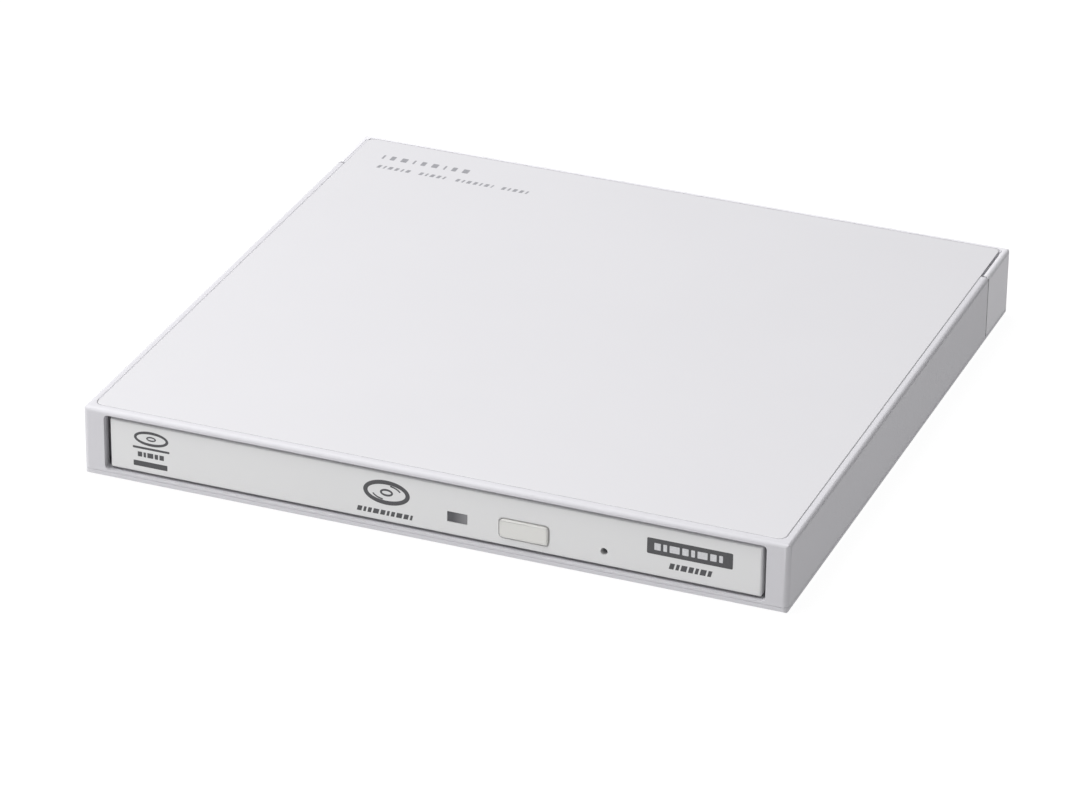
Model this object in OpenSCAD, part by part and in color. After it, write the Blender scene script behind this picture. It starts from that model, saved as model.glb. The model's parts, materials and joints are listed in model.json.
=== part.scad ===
// External slim optical drive: a flat white case round a 9.5 mm tray-loading drive.
// +X is right seen from the front, the bezel faces -Y, and +Z is up.
// The origin is the centre of the footprint on the table.

/* [Case] */
// Width of the case
case_w = 138.5; // [138:0.5:140]
// Depth of the case, front to rear
case_d = 132; // [132:1:138]
// Height of the case without its feet
case_h = 13.9; // [13.9:0.1:14.5]
// Thickness of the case walls
wall = 2; // [1.8:0.1:2.1]
// Thickness of the top panel
panel_t = 1.2; // [1:0.1:1.2]
// Width of the case rim beside the top panel
rim_side = 1.55; // [1.4:0.05:1.7]
// Width of the case rim in front of the top panel
rim_front = 1.7; // [1.5:0.05:1.9]
// Rounding of the upright corners of the case
corner_r = 1.2; // [0.9:0.1:1.6]
// Rounding of the top edges of the case
top_edge_r = 0.9; // [0.5:0.1:1]
// Rounding of the bottom edges of the case
bottom_edge_r = 0.6; // [0.3:0.1:0.9]
// Length of the side wings of the rear cover
wing_l = 14.5; // [12:0.5:15]

/* [Feet] */
// Height that the feet stand out below the case
foot_h = 0.5; // [0.3:0.1:0.6]
// Radius of each foot
foot_r = 5; // [3:0.5:6]

/* [Bezel and button] */
// Width of the tray bezel
bezel_w = 128; // [127:0.5:128.5]
// Height of the tray bezel
bezel_h = 10; // [9.5:0.1:10]
// Distance that the bezel sits back from the case front
bezel_recess = 0.6; // [0.4:0.1:0.8]
// Width of the eject button
button_w = 9.4; // [8:0.1:9.7]
// Height of the eject button
button_h = 3.7; // [3:0.1:3.9]
// Distance that the eject button stands out of the bezel
button_proud = 0.35; // [0.2:0.05:0.5]

/* [Tray and disc] */
// Width of the tray
tray_w = 119.2; // [118:0.2:119.2]
// Radius of the recess for a 12 cm disc
disc_recess_r = 60.5; // [60.3:0.1:60.6]
// Radius of the recess for an 8 cm disc
small_recess_r = 40.3; // [40.2:0.1:41]
// Radius of the hub that enters the hole of a disc
hub_r = 7.45; // [7.4:0.01:7.48]
// Radius of the turntable
turntable_r = 14; // [13:0.5:14.5]

/* [Pickup sled] */
// Direction that the sled runs in, counted from +X
sled_angle = 225; // [223:1:227]
// Distance from the spindle to the lens with the sled fully in
lens_start = 25; // [25:0.5:26]
// Distance from the spindle axis line to each guide rod
rod_v = 11.5; // [11.3:0.1:11.6]
// Radius of the guide rods
rod_r = 1; // [0.8:0.05:1]
// Distance from the spindle axis line to the lead screw
screw_v = 16.3; // [16.2:0.1:16.4]

/* [Hidden] */
$fn = 48;

// Colours
shell_white = [0.92, 0.92, 0.93];
bezel_white = [0.84, 0.84, 0.85];
steel = [0.72, 0.73, 0.75];
dark_steel = [0.42, 0.43, 0.46];
black_plastic = [0.1, 0.1, 0.11];
tray_grey = [0.2, 0.2, 0.22];
board_green = [0.08, 0.35, 0.2];
rubber_grey = [0.3, 0.3, 0.32];
copper = [0.8, 0.5, 0.3];
flex_tan = [0.85, 0.8, 0.66];
lens_blue = [0.45, 0.6, 0.85];

// Case faces and heights
side = case_w / 2;
front = -case_d / 2;
rear = case_d / 2;
z_top = foot_h + case_h;
panel_z = z_top - panel_t;
cover_t = 1.1;
z_split = foot_h + cover_t;
split_gap = 0.05;
seam = 0.15;
rear_seam = 0.08;
wing_seam = 0.45;
panel_corner_r = 1.5;
wing_y = rear - wing_l;
wing_rim = 1.2;
rear_rim = 1.25;
ledge_w = 2.1;
ledge_t = 0.65;

// The drive keeps its place behind the bezel whatever the depth of the case
drive_y = front + 66;

// Front opening of the case
open_w = bezel_w + 1.9;
open_z = [2.1, 13.4];
open_r = 0.8;

// Drive chassis, the same for every case
chassis_x = 64;
chassis_y = [-61, 63];
chassis_z = [2.85, 12.35];
sheet = 0.5;
chassis_wall = 0.6;
cover_z = chassis_z[1] - sheet;
notch = [-8, 51.8];
shelf_z = 8.2;
emboss_r = 45;
emboss_h = 0.25;

// Heights inside the drive
board_z = 3.6;
board_t = 0.8;
floor_z = chassis_z[0] + sheet;
tray_z = [8, 11.3];
tray_rear_z = 8.75;
skirt_z = 4.6;
skirt_t = 1.4;
tray_y = [-61.3, 60.5];
rear_rib_y = 33.4;
rib_t = 1.2;
disc_floor_z = 9.7;
small_floor_z = 9;
under_z = 3.75;
under_t = 0.3;
tray_board_z = 5.5;
tray_board_t = 0.6;

// Front controls
button_x = 18.55;
button_z = 6.2;
button_gap = 0.3;
button_stem_end = -60.95;
led_x = [3.6, 7.45];
led_z = [5.3, 7.3];
pinhole = [34, 5.45];
pinhole_r = 0.7;
bezel_y = [front + bezel_recess - drive_y, -61.3];
bezel_z = 2.6;
tab_x = [41, 49];
tab_z = [10, 10.8];

// Rails
rail_y = [-55, 50];
slide_y = [-52, 50];
tongue_y = [-45, 50];
rail_x = [61.6, 63.4];
rail_z = [4.2, 9.8];
rail_t = 0.6;
slide_x = [60.7, 62.65];
slide_z = [4.95, 9.05];
tongue_x = 61.9;
tongue_z = [5.7, 8.3];

// Flat flexible cable
flex_x = [20, 30];
flex_t = 0.1;
flex_front = -57.5;
flex_low_z = 3.5;
flex_high_z = 5.1;
flex_top_z = 5.3;
flex_socket_y = [15, 18.5];
flex_channel = [18.5, 31.5];

// Tray latch
latch_pin_at = [52, -50];
latch_pin_r = 1;
pivot_at = [50, -57];
pivot_r = 0.9;
latch_open = 12;
lever_z = [4.2, 5.2];
latch_channel = [48, 57.2];

// Eject plunger
plunger_x = 52;
plunger_z = 7.2;
plunger_r = 1.1;
plunger_y = [22, 62.2];
plunger_lug_y = 57;
collar_y = 43;

// Disc seat and disc lock
seat_z = 10;
lock_z = 11.2;

// Traverse mechanism, in its own frame with u along the sled's travel
plate_z = 7.3;
plate_t = 0.5;
window_r = 17.5;
window_u = 63.5;
window_v = 11;
rod_z = 6.1;
rod_u = [13.5, 63.5];
screw_r = 1.1;
motor_u = [7, 17];
motor_r = 1.85;
nut_u = [19, 25];
damper_at = [[-18, 20.5], [-18, -20.5], [27, 21], [58, -15.5]];
motor_post_angles = [120, 200, 290];
motor_post_r = 14.8;
pickup_u = [lens_start - 7, lens_start + 4.5];
pickup_v = 9.3;
pickup_z = [5, 8.6];
holder_top = 9.2;

// Electronics in the rear corner
port_x = -40;
port_z = board_z + board_t + 1.58;
port_size = [8.94, 3.16];
port_mouth = rear - 0.3;
port_depth = 7.3;
port_gap = 0.3;
sata_h = 3.5;
sata_meet_y = 52;
sata_tongue_z = [5.7, 6.7];
sata_x = [-47, -21];
bridge_post_x = [-58, -22];
bridge_post_y = 61.5;

// Case fasteners, feet and padding
screw_x = side - 2.65;
frame_screw_y = [front + 6, front + 61, wing_y - 7.5];
rear_screw_y = rear - 8;
case_screw_y = concat(frame_screw_y, [rear_screw_y]);
boss_r = 1.45;
thread_r = 0.7;
head_recess = 0.6;
head_recess_r = 1.55;
foot_at = [side - 13, rear - 13];
foot_recess = 0.4;
foot_edge_r = 0.2;
lower_pad_at = [42, 34];
upper_pad_at = [54, 48];
bracket_y = 19;
bracket_z = 6.5;
bracket_t = 0.5;
cover_screw_x = 61.9;
cover_screw_y = [-56, 56];

// ---------------------------------------------------------------- helpers

module block(lo, hi) { translate(lo) cube(hi - lo); }

// Upright bar centred on a point, with a square section
module post(at, size, z0, z1) {
  translate([at[0] - size[0] / 2, at[1] - size[1] / 2, z0]) cube([size[0], size[1], z1 - z0]);
}

module disc(at, r, z0, z1) { translate([at[0], at[1], z0]) cylinder(h = z1 - z0, r = r); }

module ring(at, r_in, r_out, z0, z1) {
  difference() {
    disc(at, r_out, z0, z1);
    disc(at, r_in, z0 - 1, z1 + 1);
  }
}

module both_sides() {
  children();
  mirror([1, 0, 0]) children();
}

// Rectangle with round corners, centred
module rounded(x, y, r) {
  square([x - 2 * r, y], center = true);
  square([x, y - 2 * r], center = true);
  for (i = [-1, 1], j = [-1, 1]) translate([i * (x / 2 - r), j * (y / 2 - r)]) circle(r);
}

// Side view of a slab: centred across, standing on zero, with its own top and bottom rounding
module profile(w, h, r_top, r_bottom) {
  translate([-w / 2, r_bottom]) square([w, h - r_top - r_bottom]);
  translate([-w / 2 + r_bottom, 0]) square([w - 2 * r_bottom, h / 2]);
  translate([-w / 2 + r_top, h / 2]) square([w - 2 * r_top, h / 2]);
  for (s = [-1, 1]) {
    translate([s * (w / 2 - r_bottom), r_bottom]) circle(r_bottom);
    translate([s * (w / 2 - r_top), h - r_top]) circle(r_top);
  }
}

// Slab with round upright corners and round top and bottom edges
module slab(w, d, h, r_corner, r_top, r_bottom) {
  intersection() {
    linear_extrude(h) rounded(w, d, r_corner);
    rotate([90, 0, 0]) linear_extrude(d + 1, center = true) profile(w, h, r_top, r_bottom);
    rotate([90, 0, 90]) linear_extrude(w + 1, center = true) profile(d, h, r_top, r_bottom);
  }
}

// Pan-head screw with a cross recess: its head's underside is at zero and its shank points down
module screw(head_r, head_h, shank_r, length) {
  slot_w = head_r * 0.28;
  slot_l = head_r * 1.2;
  difference() {
    cylinder(h = head_h, r = head_r);
    for (a = [0, 90]) rotate(a) translate([0, 0, head_h]) cube([slot_l, slot_w, head_h], center = true);
  }
  translate([0, 0, -length]) cylinder(h = length, r = shank_r);
}

module in_drive() { translate([0, drive_y, 0]) children(); }

module in_traverse() { in_drive() rotate(sled_angle) children(); }

// ---------------------------------------------------------------- case

module case_skin() {
  translate([0, 0, foot_h]) slab(case_w, case_d, case_h, corner_r, top_edge_r, bottom_edge_r);
}

module case_boss(y) {
  both_sides() ring([screw_x, y], thread_r, boss_r, z_split + split_gap, panel_z - ledge_t);
}

module top_panel() {
  panel_w = case_w - 2 * (rim_side + seam);
  y0 = front + rim_front + seam;
  y1 = rear - rear_rim - rear_seam;
  color(shell_white) translate([0, (y0 + y1) / 2, panel_z])
    slab(panel_w, y1 - y0, panel_t, panel_corner_r, 0.15, 0.1);
}

module upper_frame() {
  inner = side - wall;
  color(shell_white) {
    difference() {
      intersection() {
        case_skin();
        block([-side, front, z_split + split_gap], [side, wing_y - wing_seam / 2, z_top]);
      }
      block([-inner, front + wall, 0], [inner, rear, panel_z - ledge_t]);
      block([ledge_w - inner, front + wall, 0], [inner - ledge_w, rear, z_top]);
      translate([0, (front + rim_front + rear) / 2 + 5, panel_z])
        linear_extrude(panel_t + 1)
        rounded(case_w - 2 * rim_side, case_d - rim_front + 10, panel_corner_r + seam);
      translate([0, front + wall + 1, (open_z[0] + open_z[1]) / 2])
        rotate([90, 0, 0]) linear_extrude(wall + 2) rounded(open_w, open_z[1] - open_z[0], open_r);
      for (y = frame_screw_y) both_sides() disc([screw_x, y], thread_r, 0, panel_z - ledge_t - 1);
    }
    for (y = frame_screw_y) case_boss(y);
  }
}

module rear_cover() {
  inner = side - wall;
  thin_z = 9;
  color(shell_white) {
    difference() {
      intersection() {
        case_skin();
        block([-side, wing_y + wing_seam / 2, z_split + split_gap], [side, rear, z_top]);
      }
      block([-inner, front, 0], [inner, rear - wall, z_top]);
      block([wing_rim - side, front, thin_z], [side - wing_rim, rear - wall, z_top + 1]);
      translate([0, (front + rear - rear_rim) / 2, panel_z]) linear_extrude(panel_t + 1)
        rounded(case_w - 2 * wing_rim, case_d - rear_rim, panel_corner_r + rear_seam);
      translate([port_x, rear + 1, port_z]) rotate([90, 0, 0]) linear_extrude(wall + 2)
        port_outline(-port_gap);
      both_sides() disc([screw_x, rear_screw_y], thread_r, 0, thin_z - 1);
    }
    both_sides() ring([screw_x, rear_screw_y], thread_r, boss_r, z_split + split_gap, thin_z);
  }
}

module bottom_cover() {
  rib_x = [64.3, 65.1];
  rib_top = 5;
  color(shell_white) {
    difference() {
      intersection() {
        case_skin();
        block([-side, front, 0], [side, rear, z_split]);
      }
      for (x = [-1, 1], y = [-1, 1])
        disc([x * foot_at[0], y * foot_at[1]], foot_r + 0.1, 0, foot_h + foot_recess);
      both_sides() for (y = case_screw_y) {
        disc([screw_x, y], thread_r + 0.15, 0, z_split + 1);
        disc([screw_x, y], head_recess_r, 0, foot_h + head_recess);
      }
    }
    both_sides() for (y = [[front + 16, front + 45], [rear - 37, rear - 26]])
      block([rib_x[0], y[0], z_split], [rib_x[1], y[1], rib_top]);
    for (x = bridge_post_x) ring([x, bridge_post_y + drive_y], 0.6, 1.5, z_split, board_z);
  }
}

module rubber_feet() {
  color(rubber_grey) for (x = [-1, 1], y = [-1, 1]) translate([x * foot_at[0], y * foot_at[1], 0])
    rotate_extrude() {
      square([foot_r - foot_edge_r, foot_h + foot_recess]);
      translate([0, foot_edge_r]) square([foot_r, foot_h + foot_recess - foot_edge_r]);
      translate([foot_r - foot_edge_r, foot_edge_r]) circle(foot_edge_r, $fn = 24);
    }
}

module case_screws() {
  color(steel) both_sides() for (y = case_screw_y)
    translate([screw_x, y, foot_h + head_recess]) mirror([0, 0, 1]) screw(1.4, 0.5, thread_r - 0.03, 5);
}

module foam_pads() {
  lower_pad = 12;
  upper_pad = 10;
  color(black_plastic) in_drive() for (x = [-1, 1], y = [-1, 1]) {
    post([x * lower_pad_at[0], y * lower_pad_at[1]], [lower_pad, lower_pad], z_split, chassis_z[0]);
    post([x * upper_pad_at[0], y * upper_pad_at[1]], [upper_pad, upper_pad], chassis_z[1], panel_z);
  }
}

module drive_brackets() {
  w = 14;
  flange = 2.4;
  top = 9.5;
  x0 = chassis_x;
  color(steel) in_drive() both_sides() difference() {
    union() {
      block([x0, bracket_y - w / 2, z_split], [x0 + bracket_t, bracket_y + w / 2, top]);
      block([x0, bracket_y - w / 2, z_split], [x0 + flange, bracket_y + w / 2, z_split + bracket_t]);
    }
    translate([x0 - 1, bracket_y, bracket_z]) rotate([0, 90, 0]) cylinder(h = 3, r = 1.05);
  }
}

module bracket_screws() {
  color(dark_steel) in_drive() both_sides()
    translate([chassis_x + bracket_t, bracket_y, bracket_z]) rotate([0, 90, 0]) screw(1.6, 0.8, 0.95, 1.6);
}

// ---------------------------------------------------------------- rear electronics

module bridge_board() {
  color(board_green) in_drive() difference() {
    block([-62, 52.2, board_z], [-18, 63.6, board_z + board_t]);
    for (x = bridge_post_x) disc([x, bridge_post_y], 0.8, board_z - 1, board_z + board_t + 1);
  }
}

module bridge_chips() {
  top = board_z + board_t;
  color(black_plastic) in_drive() {
    post([-53, 56], [6, 6], top, top + 0.9);
    post([-27.5, 60.2], [4, 4], top, top + 1.8);
    post([-59, 56.5], [2.5, 3.2], top, top + 0.7);
    for (x = [-33.4, -31.8]) post([x, 60.5], [0.8, 1.6], top, top + 0.8);
  }
}

module board_screws() {
  color(steel) in_drive() for (x = bridge_post_x)
    translate([x, bridge_post_y, board_z + board_t]) screw(1.3, 0.5, 0.57, 2.4);
}

module port_outline(inset) {
  rounded(port_size[0] - 2 * inset, port_size[1] - 2 * inset, port_size[1] / 2 - inset - 0.01);
}

module usb_port_shell() {
  shell_t = 0.3;
  color(steel) translate([port_x, port_mouth, port_z]) rotate([90, 0, 0]) difference() {
    linear_extrude(port_depth) port_outline(0);
    translate([0, 0, -1]) linear_extrude(port_depth + 1 - 0.4) port_outline(shell_t);
  }
}

module usb_port_tongue() {
  color(black_plastic) translate([port_x, port_mouth, port_z]) rotate([90, 0, 0]) {
    translate([0, 0, port_depth - 1.4]) linear_extrude(1) port_outline(0.35);
    translate([0, 0, 0.9]) linear_extrude(port_depth - 2) rounded(6.7, 0.7, 0.2);
  }
}

module sata_plug() {
  top = board_z + board_t;
  color(black_plastic) in_drive() {
    block([sata_x[0], sata_meet_y + 0.3, top], [sata_x[1], 57, top + sata_h]);
    block([sata_x[0] + 2.2, 49.4, sata_tongue_z[0]], [sata_x[1] - 2.2, sata_meet_y + 0.3, sata_tongue_z[1]]);
  }
}

// ---------------------------------------------------------------- drive chassis

// Footprint of the chassis, or of the chassis with its lower notch, drawn t inside its faces
module chassis_outline(t) {
  translate([t - chassis_x, chassis_y[0]])
    square([2 * (chassis_x - t), chassis_y[1] - chassis_y[0] - t]);
}

module notched_outline(t) {
  difference() {
    chassis_outline(t);
    translate([-chassis_x - 1, notch[1] - t]) square([notch[0] + t + chassis_x + 1, 20]);
  }
}

module chassis_base() {
  tab_z = 11.15;
  color(steel) in_drive() difference() {
    union() {
      translate([0, 0, chassis_z[0]]) linear_extrude(sheet) notched_outline(0);
      translate([0, 0, chassis_z[0]]) linear_extrude(shelf_z - chassis_z[0]) difference() {
        notched_outline(0);
        difference() {
          notched_outline(chassis_wall);
          translate([-chassis_x, chassis_y[0] - 1]) square([2 * chassis_x, 1]);
        }
      }
      block([-chassis_x, notch[1] - chassis_wall, shelf_z],
            [notch[0] + chassis_wall, chassis_y[1], shelf_z + 0.4]);
      translate([0, 0, shelf_z]) linear_extrude(cover_z - shelf_z) difference() {
        chassis_outline(0);
        chassis_outline(chassis_wall);
      }
      both_sides() for (y = cover_screw_y) post([cover_screw_x + 0.2, y], [3, 6], tab_z, cover_z);
    }
    // Window for the data connector
    block([sata_x[0] - 0.3, notch[1] - 1, floor_z], [sata_x[1] + 0.3, notch[1] + 1, shelf_z - 0.1]);
    both_sides() {
      for (y = cover_screw_y) disc([cover_screw_x, y], 0.8, tab_z - 1, cover_z + 1);
      translate([chassis_x - 1, bracket_y, bracket_z]) rotate([0, 90, 0]) cylinder(h = 2, r = 1);
      // Stiffening slots and drain holes in the floor
      for (y = [-34, 0, 34]) post([56, y], [2, 12], 0, floor_z + 1);
    }
    disc([-30, 20], 4, 0, floor_z + 1);
    disc([0, 0], 6, 0, floor_z + 1);
  }
}

module chassis_cover() {
  color(steel) in_drive() difference() {
    union() {
      translate([0, 0, cover_z]) linear_extrude(sheet) chassis_outline(0);
      disc([0, 0], emboss_r, cover_z, cover_z + sheet + emboss_h);
    }
    disc([0, 0], emboss_r - 0.6, cover_z - 1, cover_z + emboss_h);
    both_sides() for (y = cover_screw_y) disc([cover_screw_x, y], 0.9, cover_z - 1, cover_z + 1);
  }
}

module chassis_screws() {
  color(dark_steel) in_drive() both_sides() for (y = cover_screw_y)
    translate([cover_screw_x, y, chassis_z[1]]) screw(1.4, 0.35, 0.75, 1.4);
}

module interface_board() {
  color(board_green) in_drive() difference() {
    block([-54, 38, board_z], [42, 50.9, board_z + board_t]);
    for (x = [-50.5, 38.5]) disc([x, 48], 1.2, board_z - 1, board_z + board_t + 1);
  }
}

module interface_chips() {
  top = board_z + board_t;
  color(black_plastic) in_drive() {
    post([2, 44.4], [11, 11], top, top + 1.2);
    post([-13, 44.4], [6, 8], top, top + 1);
    post([14, 44.4], [5, 5], top, top + 0.9);
    block([flex_x[0] - 1.5, 38.6, top], [flex_x[1] + 1.5, 42, top + 1.1]);
  }
}

module sata_socket() {
  top = board_z + board_t;
  color(black_plastic) in_drive() difference() {
    block([sata_x[0], 43.6, top], [sata_x[1], sata_meet_y, top + sata_h]);
    block([sata_x[0] + 2.1, 49.2, sata_tongue_z[0] - 0.1], [sata_x[1] - 2.1, 53, sata_tongue_z[1] + 0.1]);
  }
}

module rail() {
  block([rail_x[1] - rail_t, rail_y[0], rail_z[0]], [rail_x[1], rail_y[1], rail_z[1]]);
  for (z = [rail_z[0], rail_z[1] - rail_t])
    block([rail_x[0], rail_y[0], z], [rail_x[1], rail_y[1], z + rail_t]);
}

module drilled_rail() {
  color(dark_steel) in_drive() difference() {
    rail();
    translate([rail_x[1] - 2, bracket_y, bracket_z]) rotate([0, 90, 0]) cylinder(h = 3, r = 1);
  }
}

module left_rail() { mirror([1, 0, 0]) drilled_rail(); }

module right_rail() { drilled_rail(); }

module slide() {
  stop_y = 3;
  color(steel) in_drive() {
    block([slide_x[1] - rail_t, slide_y[0], slide_z[0]], [slide_x[1], slide_y[1], slide_z[1]]);
    for (z = [slide_z[0], slide_z[1] - rail_t])
      block([slide_x[0], slide_y[0], z], [slide_x[1], slide_y[1], z + rail_t]);
    // End stop that the tongue of the tray meets
    block([slide_x[0] + 0.2, slide_y[1] + 0.2, slide_z[0]],
          [slide_x[1], slide_y[1] + 0.2 + rail_t, slide_z[1]]);
    block([slide_x[1] - rail_t, slide_y[1] - stop_y, slide_z[0]],
          [slide_x[1], slide_y[1] + 0.5, slide_z[1]]);
  }
}

module left_slide() { mirror([1, 0, 0]) slide(); }

module right_slide() { slide(); }

module latch_pin() {
  color(steel) in_drive() disc(latch_pin_at, latch_pin_r, floor_z, 5.3);
}

// ---------------------------------------------------------------- flat flexible cable

module flex_fixed_run() {
  z0 = floor_z + 0.01;
  end_y = 36.5;
  socket_y = 38.6;
  socket_z = 4.8;
  color(flex_tan) in_drive() {
    block([flex_x[0], flex_front, z0], [flex_x[1], end_y, z0 + flex_t]);
    block([flex_x[0], end_y - flex_t, z0], [flex_x[1], end_y, socket_z + flex_t]);
    block([flex_x[0], end_y - flex_t, socket_z], [flex_x[1], socket_y, socket_z + flex_t]);
  }
}

module flex_loop() {
  mid_z = (flex_low_z + flex_high_z + flex_t) / 2;
  bend_r = (flex_high_z + flex_t - flex_low_z) / 2;
  lower_end = 6;
  upper_end = flex_front + 8;
  color(flex_tan) in_drive() {
    block([flex_x[0], flex_front, flex_low_z], [flex_x[1], lower_end, flex_low_z + flex_t]);
    block([flex_x[0], flex_front, flex_high_z], [flex_x[1], upper_end, flex_high_z + flex_t]);
    intersection() {
      translate([flex_x[0], flex_front, mid_z]) rotate([0, 90, 0]) difference() {
        cylinder(h = flex_x[1] - flex_x[0], r = bend_r);
        translate([0, 0, -1]) cylinder(h = flex_x[1] - flex_x[0] + 2, r = bend_r - flex_t);
      }
      block([flex_x[0] - 1, flex_front - 5, 0], [flex_x[1] + 1, flex_front, 10]);
    }
  }
}

module flex_moving_run() {
  color(flex_tan) in_drive()
    block([flex_x[0], flex_front, flex_top_z], [flex_x[1], flex_socket_y[0], flex_top_z + flex_t]);
}

module flex_connector() {
  color(black_plastic) in_drive()
    block([flex_x[0] - 1.2, flex_socket_y[0], flex_high_z - 0.7],
          [flex_x[1] + 1.2, flex_socket_y[1], tray_board_z]);
}

// ---------------------------------------------------------------- tray

module tray() {
  half = tray_w / 2;
  skirt_x = half - skirt_t;
  z_low = skirt_z;
  way_z = 5.45;
  lug_t = 1.4;
  color(tray_grey) in_drive() difference() {
    union() {
      block([-half, tray_y[0], tray_z[0]], [half, rear_rib_y + rib_t, tray_z[1]]);
      block([-half, rear_rib_y, tray_rear_z], [half, tray_y[1], tray_z[1]]);
      both_sides() {
        block([skirt_x, tray_y[0], z_low], [half, rear_rib_y + rib_t, tray_z[0] + 1]);
        block([half - 1, tongue_y[0], tongue_z[0]], [tongue_x, tongue_y[1], tongue_z[1]]);
        block([half - 1, tongue_y[0], tongue_z[0]], [half, tongue_y[1], tray_rear_z + 1]);
      }
      block([-half, tray_y[0], z_low], [half, tray_y[0] + skirt_t, tray_z[0] + 1]);
      block([-half, rear_rib_y, z_low], [half, rear_rib_y + rib_t, tray_z[0] + 1]);
      block([plunger_x - 2.2, plunger_lug_y, 5.7], [plunger_x + 2.2, plunger_lug_y + lug_t, tray_rear_z + 1]);
    }
    disc([0, 0], disc_recess_r, disc_floor_z, tray_z[1] + 1);
    disc([0, 0], small_recess_r, small_floor_z, tray_z[1] + 1);
    rotate(sled_angle) {
      disc([0, 0], window_r, 0, tray_z[1] + 1);
      block([0, -window_v, 0], [window_u, window_v, tray_z[1] + 1]);
      for (at = damper_at) disc(at, 0.8, 0, tray_z[0] + 0.8);
    }
    // Ways for the button, the light pipe and the emergency release
    block([2, tray_y[0] - 1, z_low - 1], [25, tray_y[0] + skirt_t + 1, tray_z[0]]);
    block([pinhole[0] - 1.5, tray_y[0] - 1, z_low - 1], [pinhole[0] + 1.5, tray_y[0] + skirt_t + 1, 6.5]);
    // Ways for the flexible cable and for the latch pin
    for (x = [flex_channel, latch_channel])
      block([x[0], rear_rib_y - 1, z_low - 1], [x[1], rear_rib_y + rib_t + 1, way_z]);
    // Slots for the bezel tabs
    both_sides() block([tab_x[0] - 0.2, tray_y[0] - 1, tab_z[0] - 0.1],
                       [tab_x[1] + 0.2, tray_y[0] + 3.7, tab_z[1] + 0.1]);
    along_y(plunger_x, plunger_z, plunger_r + 0.1, plunger_y[0] - 2, tray_y[1] + 4);
    disc(pivot_at, pivot_r, 0, tray_z[0] + 1.2);
  }
}

module bezel() {
  x = bezel_w / 2;
  y0 = bezel_y[0];
  y1 = bezel_y[1];
  z1 = bezel_z + bezel_h;
  skin = 1.6;
  rim = 1.2;
  color(bezel_white) in_drive() {
    difference() {
      translate([0, (y0 + y1) / 2 + 0.5, bezel_z]) intersection() {
        slab(bezel_w, y1 - y0 + 1, bezel_h, 0.5, 0.35, 0.35);
        block([-x, (y0 - y1 - 1) / 2, 0], [x, (y1 - y0 - 1) / 2, bezel_h]);
      }
      block([rim - x, y0 + skin, bezel_z + rim], [x - rim, y1 + 1, z1 - rim]);
      translate([button_x, y1, button_z]) rotate([90, 0, 0]) linear_extrude(10)
        rounded(button_w + 2 * button_gap, button_h + 2 * button_gap, 0.9);
      block([led_x[0] - 0.05, y0 - 1, led_z[0] - 0.05], [led_x[1] + 0.05, y1, led_z[1] + 0.05]);
      translate([pinhole[0], y1, pinhole[1]]) rotate([90, 0, 0]) cylinder(h = 10, r = pinhole_r);
    }
    both_sides() {
      block([tab_x[0], y0 + skin - 0.5, tab_z[0]], [tab_x[1], y1 + 3.4, tab_z[1]]);
      for (x = [12, 58]) block([x - 0.5, y0 + skin - 0.5, bezel_z + 1], [x + 0.5, y1, z1 - 1]);
    }
  }
}

module led_window() {
  color([0.45, 0.5, 0.55]) in_drive() {
    block([led_x[0], bezel_y[0] + 0.05, led_z[0]], [led_x[1], -61.4, led_z[1]]);
    block([led_x[0] + 1, -61.5, led_z[0]], [led_x[1] - 1, -59.4, led_z[1] - 0.6]);
  }
}

module eject_button() {
  cap_y0 = bezel_y[0] - button_proud;
  cap_y1 = bezel_y[0] + 2.2;
  color(bezel_white) in_drive() {
    translate([button_x, cap_y1, button_z]) rotate([90, 0, 0])
      slab(button_w, button_h, cap_y1 - cap_y0, 0.8, 0.3, 0.1);
    block([button_x - 1.5, cap_y1 - 0.5, button_z - 1.2], [button_x + 1.5, button_stem_end, button_z + 1.2]);
  }
}

module tray_board() {
  z1 = tray_board_z + tray_board_t;
  color(board_green) in_drive() difference() {
    union() {
      block([0, -59, tray_board_z], [57, -41, z1]);
      block([18.7, -42, tray_board_z], [46, 20, z1]);
    }
    disc(pivot_at, 1.3, tray_board_z - 1, z1 + 1);
    disc([30, -20], 1.1, tray_board_z - 1, z1 + 1);
  }
}

module tray_board_chips() {
  z0 = tray_board_z + tray_board_t;
  color(black_plastic) in_drive() {
    post([36, -30], [9, 9], z0, z0 + 1.1);
    post([36, -14], [6, 6], z0, z0 + 1);
    post([5.5, -57.4], [2.4, 1.8], z0, z0 + 1);
    for (y = [-50, -46, -42.5]) post([8, y], [3.2, 1.6], z0, z0 + 1.2);
  }
}

module eject_switch() {
  z0 = tray_board_z + tray_board_t;
  color(dark_steel) in_drive() {
    block([button_x - 3, -59, z0], [button_x + 3, -55.5, z0 + 1.6]);
    block([button_x - 0.8, -59.8, z0 + 0.2], [button_x + 0.8, -59, z0 + 1.1]);
  }
}

module tray_bottom_cover() {
  half = tray_w / 2;
  sheet_front = -59.4;
  tab_top = 7.5;
  color(steel) in_drive() difference() {
    union() {
      block([skirt_t + 0.4 - half, sheet_front, under_z], [46, 33, under_z + under_t]);
      for (y = [-50, 20])
        block([skirt_t + 0.4 - half, y - 3, under_z], [skirt_t + 0.9 - half, y + 3, tab_top]);
      post([pinhole[0] + 6, 28], [8, 0.4], under_z, tab_top);
    }
    block([flex_channel[0], -61, under_z - 1], [flex_channel[1], 40, under_z + 1]);
    block([32, -61, under_z - 1], [47, -43, under_z + 1]);
    disc([-20, 15], 3, under_z - 1, under_z + 1);
  }
  // Strip that joins the sheet across the cable's channel
  color(steel) in_drive()
    block([flex_channel[0] - 1, sheet_front, under_z],
          [flex_channel[1] + 2, sheet_front + 0.5, under_z + under_t]);
}

// ---------------------------------------------------------------- traverse mechanism

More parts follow.
